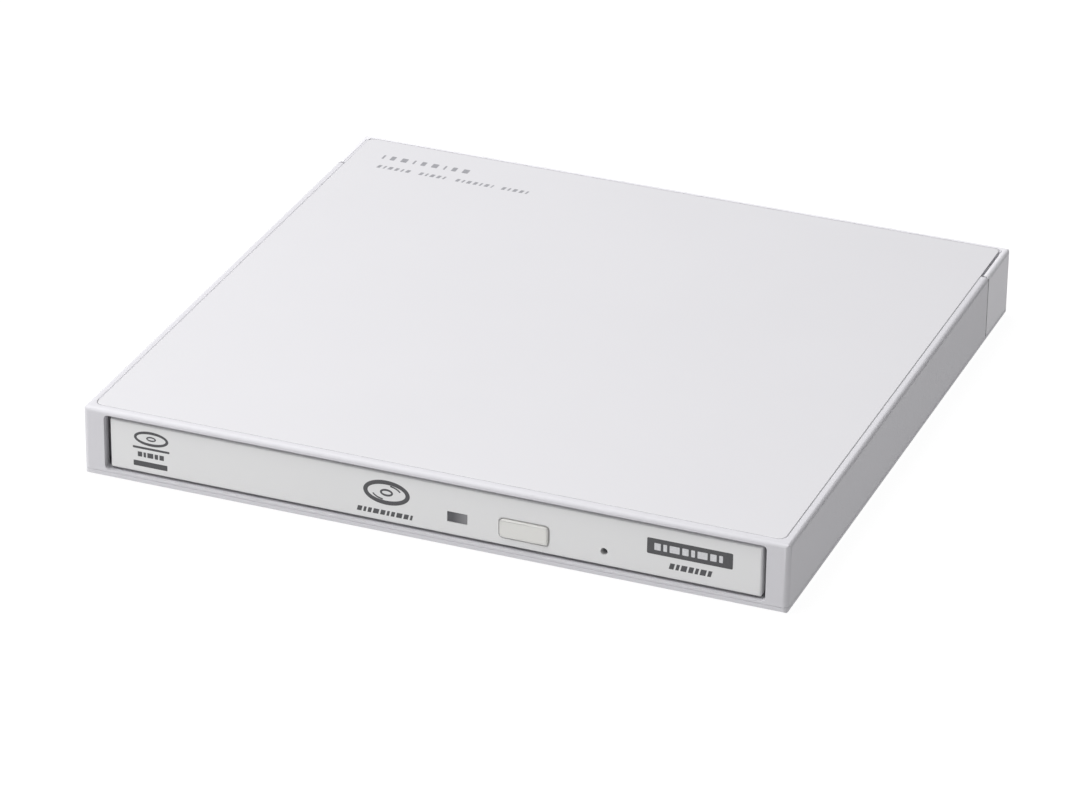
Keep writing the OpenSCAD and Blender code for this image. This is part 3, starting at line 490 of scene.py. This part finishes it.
def print_middle_mark():
    """A large disc sign with a row of dashes under it."""
    p = front_print("disc_mark_middle")
    centre, glint = (-8.4, 6.0), (3.0, 1.65)
    p.arc(centre, (4.6, 2.5), 0.85)
    p.arc(centre, (1.3, 0.75), 0.4, steps=24)
    p.arc(centre, glint, 0.3, start=20, end=75, steps=10)
    p.arc(centre, glint, 0.3, start=200, end=255, steps=10)
    p.dashes(-14.3, -3.4, 1.3, 2.3, (0.9, 0.5, 0.7, 1.1), 0.35, lean=0.25)
    p.finish("tray_body", INK, "bezel_plastic")


def print_right_mark():
    """A dark plate with pale squares in it, and a row of dashes under it."""
    p = front_print("format_plate")
    p.bar(42.2, 58.5, 4.4, 7.6, 0.25)
    p.dashes(46.4, 54.4, 2.0, 3.2, (0.9, 0.6, 1.1), 0.35, lean=0.25)
    p.finish("tray_body", INK, "bezel_plastic")
    q = front_print("format_plate_squares")
    q.out *= 1.6  # so that the squares stand proud of the plate
    q.dashes(43.6, 57.2, 5.3, 6.7, (1.2, 0.7, 1.9), 0.5, 0.1)
    q.finish("tray_body", PALE_INK, "bezel_plastic")


def print_lid_marks():
    """Two rows of fine dashes near the rear left corner of the lid."""
    lid_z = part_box("top_panel")[1].z
    p = Print("lid_marks", (0, 0, lid_z), (1, 0, 0), (0, 1, 0))
    p.dashes(-61.5, -41.4, 56.3, 58.1, (0.4, 1.0, 1.3), 1.35, 0.15)
    for start, end in ((-60.8, -53.4), (-51.6, -45.6), (-43.6, -35.6), (-33.6, -28.0)):
        p.dashes(start, end, 52.0, 53.3, (0.7, 0.4, 0.8), 0.65, 0.1, lean=0.15)
    p.finish("case", GREY_INK, "panel_plastic")


# ---------------------------------------------------------------- small parts

def piece(name, mesh, material, body=None):
    """Links a bmesh as a scene piece and lets it ride on a CAD body."""
    bmesh.ops.recalc_face_normals(mesh, faces=mesh.faces[:])
    data = bpy.data.meshes.new(name)
    mesh.to_mesh(data)
    mesh.free()
    data.materials.append(material)
    obj = bpy.data.objects.new(name, data)
    bpy.context.scene.collection.objects.link(obj)
    if body:
        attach(obj, body)
    return obj


def add_box(mesh, low, high):
    """A box between two corners."""
    size = [high[i] - low[i] for i in range(3)]
    middle = Vector([(high[i] + low[i]) / 2 for i in range(3)])
    place = Matrix.Translation(middle) @ Matrix.Diagonal((*size, 1))
    bmesh.ops.create_cube(mesh, size=1, matrix=place)


def add_sides(mesh, rows):
    """Faces between each row of vertices and the next, each row being a closed ring."""
    for row, beyond in zip(rows, rows[1:]):
        for k in range(len(row)):
            n = (k + 1) % len(row)
            mesh.faces.new((row[k], row[n], beyond[n], beyond[k]))


def add_bar(mesh, rows):
    """A closed bar whose cross-sections are the rows of vertices."""
    add_sides(mesh, rows)
    mesh.faces.new(list(reversed(rows[0])))
    mesh.faces.new(rows[-1])


def add_tube(mesh, points, radius, sides=8):
    """A round wire through the points, closed at both ends."""
    rows = []
    side = None
    for i, here in enumerate(points):
        ahead = (points[min(i + 1, len(points) - 1)] - points[max(i - 1, 0)]).normalized()
        side = (ahead.orthogonal() if side is None else side - ahead * side.dot(ahead)).normalized()
        other = ahead.cross(side)
        rows.append([mesh.verts.new(here + (side * math.cos(t) + other * math.sin(t)) * radius)
                     for t in (2 * math.pi * k / sides for k in range(sides))])
    add_bar(mesh, rows)


def helix(start, axis, radius, pitch, length, steps=18):
    """Points of a screw line round an axis."""
    axis = axis.normalized()
    side = axis.orthogonal().normalized()
    other = axis.cross(side)
    count = int(length / pitch * steps)
    points = []
    for i in range(count + 1):
        t = 2 * math.pi * i / steps
        out = side * math.cos(t) + other * math.sin(t)
        points.append(start + axis * (length * i / count) + out * radius)
    return points


def islands(node):
    """Boxes of the separate solids in a CAD node."""
    mesh = bmesh.new()
    mesh.from_mesh(NODES[node].data)
    bmesh.ops.remove_doubles(mesh, verts=mesh.verts[:], dist=1e-6)
    seen, boxes = set(), []
    for first in mesh.verts:
        if first in seen:
            continue
        group, todo = [], [first]
        seen.add(first)
        while todo:
            vert = todo.pop()
            group.append(vert.co.copy())
            for edge in vert.link_edges:
                other = edge.other_vert(vert)
                if other not in seen:
                    seen.add(other)
                    todo.append(other)
        boxes.append([Vector([pick(co[i] for co in group) for i in range(3)])
                      for pick in (min, max)])
    mesh.free()
    return boxes


def coil_spring():
    """The ejector's spring, from the tray's rear rib to the pin's collar, at collar_y at rest."""
    low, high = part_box("eject_spring")
    centre = (low + high) / 2
    wire, pitch, collar_y = 0.15 * MM, 1.2 * MM, 43 * MM
    radius = (high.x - low.x) / 2 - wire
    start = Vector((centre.x, low.y + wire, centre.z))
    length = collar_y - wire - start.y
    mesh = bmesh.new()
    add_tube(mesh, helix(start, Vector((0, 1, 0)), radius, pitch, length), wire)
    spring = piece("coil_spring", mesh, MATERIALS["spring_steel"])
    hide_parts("eject_spring")
    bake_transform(spring)


def seam_strips():
    """The filler along the lid's left seam, and dark strips in the two upright seams that are
    painted shade for those gaps.
    """
    panel_low, panel_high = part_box("top_panel")
    frame_low, frame_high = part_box("upper_frame")
    cover_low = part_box("rear_cover")[0]
    seam, corner, wing_rim = 0.15 * MM, 1.7 * MM, 1.2 * MM
    low_z, high_z = panel_high.z - 0.55 * MM, panel_high.z - 0.05 * MM
    mesh = bmesh.new()
    add_box(mesh, (panel_low.x - seam, panel_low.y + corner, low_z),
            (panel_low.x, frame_high.y, high_z))
    add_box(mesh, (cover_low.x + wing_rim, cover_low.y, low_z),
            (panel_low.x, panel_high.y, high_z))
    piece("left_seam_strip", mesh, MATERIALS["shell_plastic"], "case")
    # The dark strips below are painted shade, set in the upright seams where there is only shade
    skin, inner, below_rim = 0.07 * MM, 0.9 * MM, 0.5 * MM
    mesh = bmesh.new()
    for sign in (-1, 1):
        x0, x1 = sorted((sign * (frame_high.x - skin), sign * (frame_high.x - inner)))
        add_box(mesh, (x0, frame_high.y, frame_low.z), (x1, cover_low.y, frame_high.z - below_rim))
    piece("seam_shade_strips", mesh, SEAM_SHADE_RUBBER, "case")


def lid_seam_shade():
    """The grey strip in the lid's seam, from the front left corner round to the right wing: painted
    shade for the gap.
    """
    low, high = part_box("top_panel")
    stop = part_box("upper_frame")[1].y
    seam, corner, sunk, deep = 0.15 * MM, 1.5 * MM, 0.04 * MM, 0.5 * MM
    line = []
    for cx, start in ((low.x + corner, 180), (high.x - corner, 270)):
        for k in range(9):
            t = math.radians(start + 90 * k / 8)
            line.append((Vector((cx, low.y + corner, 0)), Vector((math.cos(t), math.sin(t), 0))))
    line.append((Vector((high.x - corner, stop, 0)), Vector((1, 0, 0))))
    mesh = bmesh.new()
    rows = []
    for centre, out in line:
        rows.append([mesh.verts.new(centre + out * (corner + step) + Vector((0, 0, high.z - drop)))
                     for step, drop in ((0, deep), (seam, deep), (seam, sunk), (0, sunk))])
    add_bar(mesh, rows)
    piece("lid_seam_shade", mesh, GREY_SEAM_SHADE, "case")


def rounded_outline(half_w, half_h, r):
    """Points round a rectangle with round corners, centred on the origin."""
    steps = 6
    points = []
    for cx, cy, start in ((half_w - r, r - half_h, -90), (half_w - r, half_h - r, 0),
                          (r - half_w, half_h - r, 90), (r - half_w, r - half_h, 180)):
        for k in range(steps + 1):
            t = math.radians(start + 90 * k / steps)
            points.append((cx + r * math.cos(t), cy + r * math.sin(t)))
    return points


def button_seat():
    """The guide rim in the bezel's hole, which leaves a fine gap round the button."""
    low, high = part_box("eject_button")
    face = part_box("bezel")[0].y
    middle = (low + high) / 2
    half_w, half_h = (high.x - low.x) / 2, (high.z - low.z) / 2
    gap, rim = 0.1 * MM, 0.22 * MM
    sunk_in, sunk_out, deep = 0.18 * MM, 0.23 * MM, 1.2 * MM
    inner = rounded_outline(half_w + gap, half_h + gap, 0.85 * MM)
    outer = rounded_outline(half_w + gap + rim, half_h + gap + rim, 0.9 * MM)
    mesh = bmesh.new()
    rows = [[mesh.verts.new((middle.x + a, face + y, middle.z + b)) for a, b in line]
            for line, y in ((outer, sunk_out), (inner, sunk_in), (inner, deep), (outer, deep))]
    add_sides(mesh, rows + rows[:1])
    piece("button_seat", mesh, MATERIALS["bezel_plastic"], "tray_body")


def screw_thread():
    """The rolled two-start thread of the sled's lead screw, along the pickup's diagonal way."""
    radius, wire, pitch = 1.06 * MM, 0.11 * MM, 1.5 * MM
    begin, length = 18.9 * MM, 40.2 * MM
    way = Vector((-1, -1, 0)).normalized()
    across = Vector((way.y, -way.x, 0))
    low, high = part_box("lead_screw")
    middle = (low + high) / 2
    offset = middle.dot(across)
    base = Vector((across.x * offset, across.y * offset, middle.z))
    mesh = bmesh.new()
    for shift in (0, pitch / 2):
        points = helix(base + way * (begin + shift), way, radius, pitch, length, steps=16)
        add_tube(mesh, points, wire, sides=6)
    piece("screw_thread", mesh, MATERIALS["port_steel"], "lead_screw_body")


def chip_pins(name, node, body):
    """Bent leads round the chips of a board: on all four sides of a large chip, else on two."""
    pitch, wide, reach, tall = 0.65 * MM, 0.26 * MM, 0.45 * MM, 0.14 * MM
    root, large, margin = 0.05 * MM, 4.5 * MM, 0.5 * MM
    knee_tall, knee_reach = 0.5 * MM, reach * 0.45
    mesh = bmesh.new()
    for low, high in islands(node):
        size = high - low
        for axis in (0, 1):
            run = 1 - axis
            if min(size.x, size.y) < large and size[run] < size[axis] - 1e-6:
                continue
            count = int((size[run] - margin) / pitch)
            for k in range(count):
                at = (low[run] + high[run]) / 2 + (k - (count - 1) / 2) * pitch
                for sign in (-1, 1):
                    face = high[axis] if sign > 0 else low[axis]
                    foot_low, foot_high = [0, 0, low.z], [0, 0, low.z + tall]
                    foot_low[run], foot_high[run] = at - wide / 2, at + wide / 2
                    inside = face - sign * root
                    foot_low[axis], foot_high[axis] = sorted((inside, face + sign * reach))
                    add_box(mesh, foot_low, foot_high)
                    knee_low, knee_high = list(foot_low), list(foot_high)
                    knee_high[2] = low.z + min(knee_tall, size.z * 0.6)
                    knee_low[axis], knee_high[axis] = sorted((inside, face + sign * knee_reach))
                    add_box(mesh, knee_low, knee_high)
    piece(name, mesh, TIN, body)


def port_contacts():
    """Gilt contacts on both faces of the socket's tongue."""
    low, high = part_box("usb_port_shell")
    x, z, mouth = (low.x + high.x) / 2, (low.z + high.z) / 2, high.y
    tongue, sunk, proud = 0.35 * MM, 0.05 * MM, 0.03 * MM
    count, pitch, wide = 12, 0.5 * MM, 0.28 * MM
    near_end, far_end = mouth - 1.4 * MM, mouth - 5 * MM
    mesh = bmesh.new()
    for k in range(count):
        at = x + (k - (count - 1) / 2) * pitch
        for face in (-1, 1):
            z0, z1 = sorted((z + face * (tongue - sunk), z + face * (tongue + proud)))
            add_box(mesh, (at - wide / 2, far_end, z0), (at + wide / 2, near_end, z1))
    piece("port_contacts", mesh, GOLD, "case")


def under_label():
    """A blank rating label under the case, with plain bars in place of words."""
    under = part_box("bottom_cover")[0].z
    thick = 0.06 * MM
    base = Print("rating_label", (0, 0, under), (-1, 0, 0), (0, 1, 0), thick=thick)
    base.bar(-32, 32, -14, 16, 1.5)
    base.finish("case", LABEL, "panel_plastic")
    p = Print("rating_label_bars", (0, 0, under - thick * 0.7), (-1, 0, 0), (0, 1, 0))
    p.dashes(-29, 5, 10.4, 12.4, (4.2, 2.6, 5.4), 1.2, 0.3)
    for row, end in enumerate((2, -6, 4, -2, -9)):
        b = 6.6 - row * 3.2
        p.dashes(-29, end, b, b + 1.1, (2.2, 1.3, 3.1, 1.7), 0.8, 0.15)
    for k in range(26):
        a = 9 + k * 0.78
        wide = 0.25 + 0.25 * ((k * 7) % 3)
        p.bar(a, a + wide, -10.5, -2.5)
    disc = (19, 6)
    p.arc(disc, (4.6, 4.6), 0.5)
    p.arc(disc, (1.4, 1.4), 0.4, steps=24)
    p.finish("case", INK, "panel_plastic")


# ---------------------------------------------------------------- set

def point_camera():
    """The photograph's viewpoint: a long lens, seen from front right and above."""
    azimuth, elevation, roll = math.radians(21.32), math.radians(27.32), math.radians(0.708)
    target = Vector((4.435, -22.102, 8.5)) * MM
    distance = 990.1 * MM
    back = Vector((math.sin(azimuth) * math.cos(elevation),
                   -math.cos(azimuth) * math.cos(elevation), math.sin(elevation)))
    data = bpy.data.cameras.new("camera")
    data.sensor_width = 36.0
    data.lens = 175.8
    data.clip_start, data.clip_end = 0.05, 20
    camera = bpy.data.objects.new("camera", data)
    bpy.context.scene.collection.objects.link(camera)
    turn = (-back).to_track_quat("-Z", "Y").to_matrix() @ Matrix.Rotation(roll, 3, "Z")
    camera.matrix_world = Matrix.Translation(target + back * distance) @ turn.to_4x4()
    bpy.context.scene.camera = camera


def soft_light(name, place, aim, size, power):
    """A white rectangular softbox that faces the point aim."""
    data = bpy.data.lights.new(name, "AREA")
    data.shape = "RECTANGLE"
    data.size, data.size_y = size
    data.energy = power
    lamp = bpy.data.objects.new(name, data)
    bpy.context.scene.collection.objects.link(lamp)
    lamp.location = place
    lamp.rotation_euler = (Vector(aim) - Vector(place)).to_track_quat("-Z", "Y").to_euler()


def light_set():
    """A nearly dark room whose walls are seen as a pale backdrop, and two softboxes."""
    world = bpy.data.worlds.new("world")
    world.use_nodes = True
    tree = world.node_tree
    room = tree.nodes["Background"]
    room.inputs["Color"].default_value = (0.93, 0.95, 1, 1)
    room.inputs["Strength"].default_value = 0.03
    backdrop = tree.nodes.new("ShaderNodeBackground")
    backdrop.inputs["Color"].default_value = (0.86, 0.865, 0.875, 1)
    rays = tree.nodes.new("ShaderNodeLightPath")
    mixed = tree.nodes.new("ShaderNodeMixShader")
    tree.links.new(rays.outputs["Is Camera Ray"], mixed.inputs[0])
    tree.links.new(room.outputs[0], mixed.inputs[1])
    tree.links.new(backdrop.outputs[0], mixed.inputs[2])
    tree.links.new(mixed.outputs[0], tree.nodes["World Output"].inputs["Surface"])
    bpy.context.scene.world = world

    soft_light("overhead", (-0.46, -0.1, 1.12), (0, 0, 0), (1.5, 1.0), 26.3)
    soft_light("left_fill", (-0.42, -0.46, 0.16), (0, -0.03, 0.01), (0.25, 0.2), 0.85)


def lay_floor():
    """A pale, evenly lit sheet, clear from below so that the drive's underside can be seen."""
    g = Graph("floor_white")
    broad = g.noise(3, 2)
    g.colours(broad, "Fac", (0.075, 0.075, 0.075), (0.085, 0.085, 0.085))
    g.set(g.shader, Roughness=0.9, Specular_IOR_Level=0.1, Emission_Color=(1, 1, 1, 1),
          Emission_Strength=0.96)
    sides = g.add("ShaderNodeNewGeometry")
    clear_side = g.add("ShaderNodeBsdfTransparent")
    mixed = g.add("ShaderNodeMixShader")
    g.join(sides, "Backfacing", mixed, 0)
    g.join(g.shader, "BSDF", mixed, 1)
    g.join(clear_side, "BSDF", mixed, 2)
    g.join(mixed, "Shader", g.output, "Surface")
    # One triangle, because a shared diagonal would show on the drive's underside
    half_width, near_edge, far_tip, z = 20, -8, 24, -0.02 * MM
    mesh = bpy.data.meshes.new("floor")
    mesh.from_pydata([(-half_width, near_edge, z), (half_width, near_edge, z), (0, far_tip, z)],
                     [], [(0, 1, 2)])
    mesh.materials.append(g.material)
    floor = bpy.data.objects.new("floor", mesh)
    bpy.context.scene.collection.objects.link(floor)


def set_colours():
    """Shows the light as it is, without a film-like curve."""
    view = bpy.context.scene.view_settings
    view.view_transform = "Standard"
    view.look = "None"


# ---------------------------------------------------------------- build

dress_nodes()
joined = joined_surface()
for node_name, edge_width in EDGE_WIDTHS.items():
    soften(node_name, edge_width, joined)
print_left_mark()
print_middle_mark()
print_right_mark()
print_lid_marks()
under_label()
seam_strips()
lid_seam_shade()
button_seat()
coil_spring()
screw_thread()
port_contacts()
chip_pins("bridge_chip_pins", "bridge_chips", "case")
chip_pins("interface_chip_pins", "interface_chips", "case")
chip_pins("tray_chip_pins", "tray_board_chips", "tray_body")
point_camera()
light_set()
lay_floor()
set_colours()
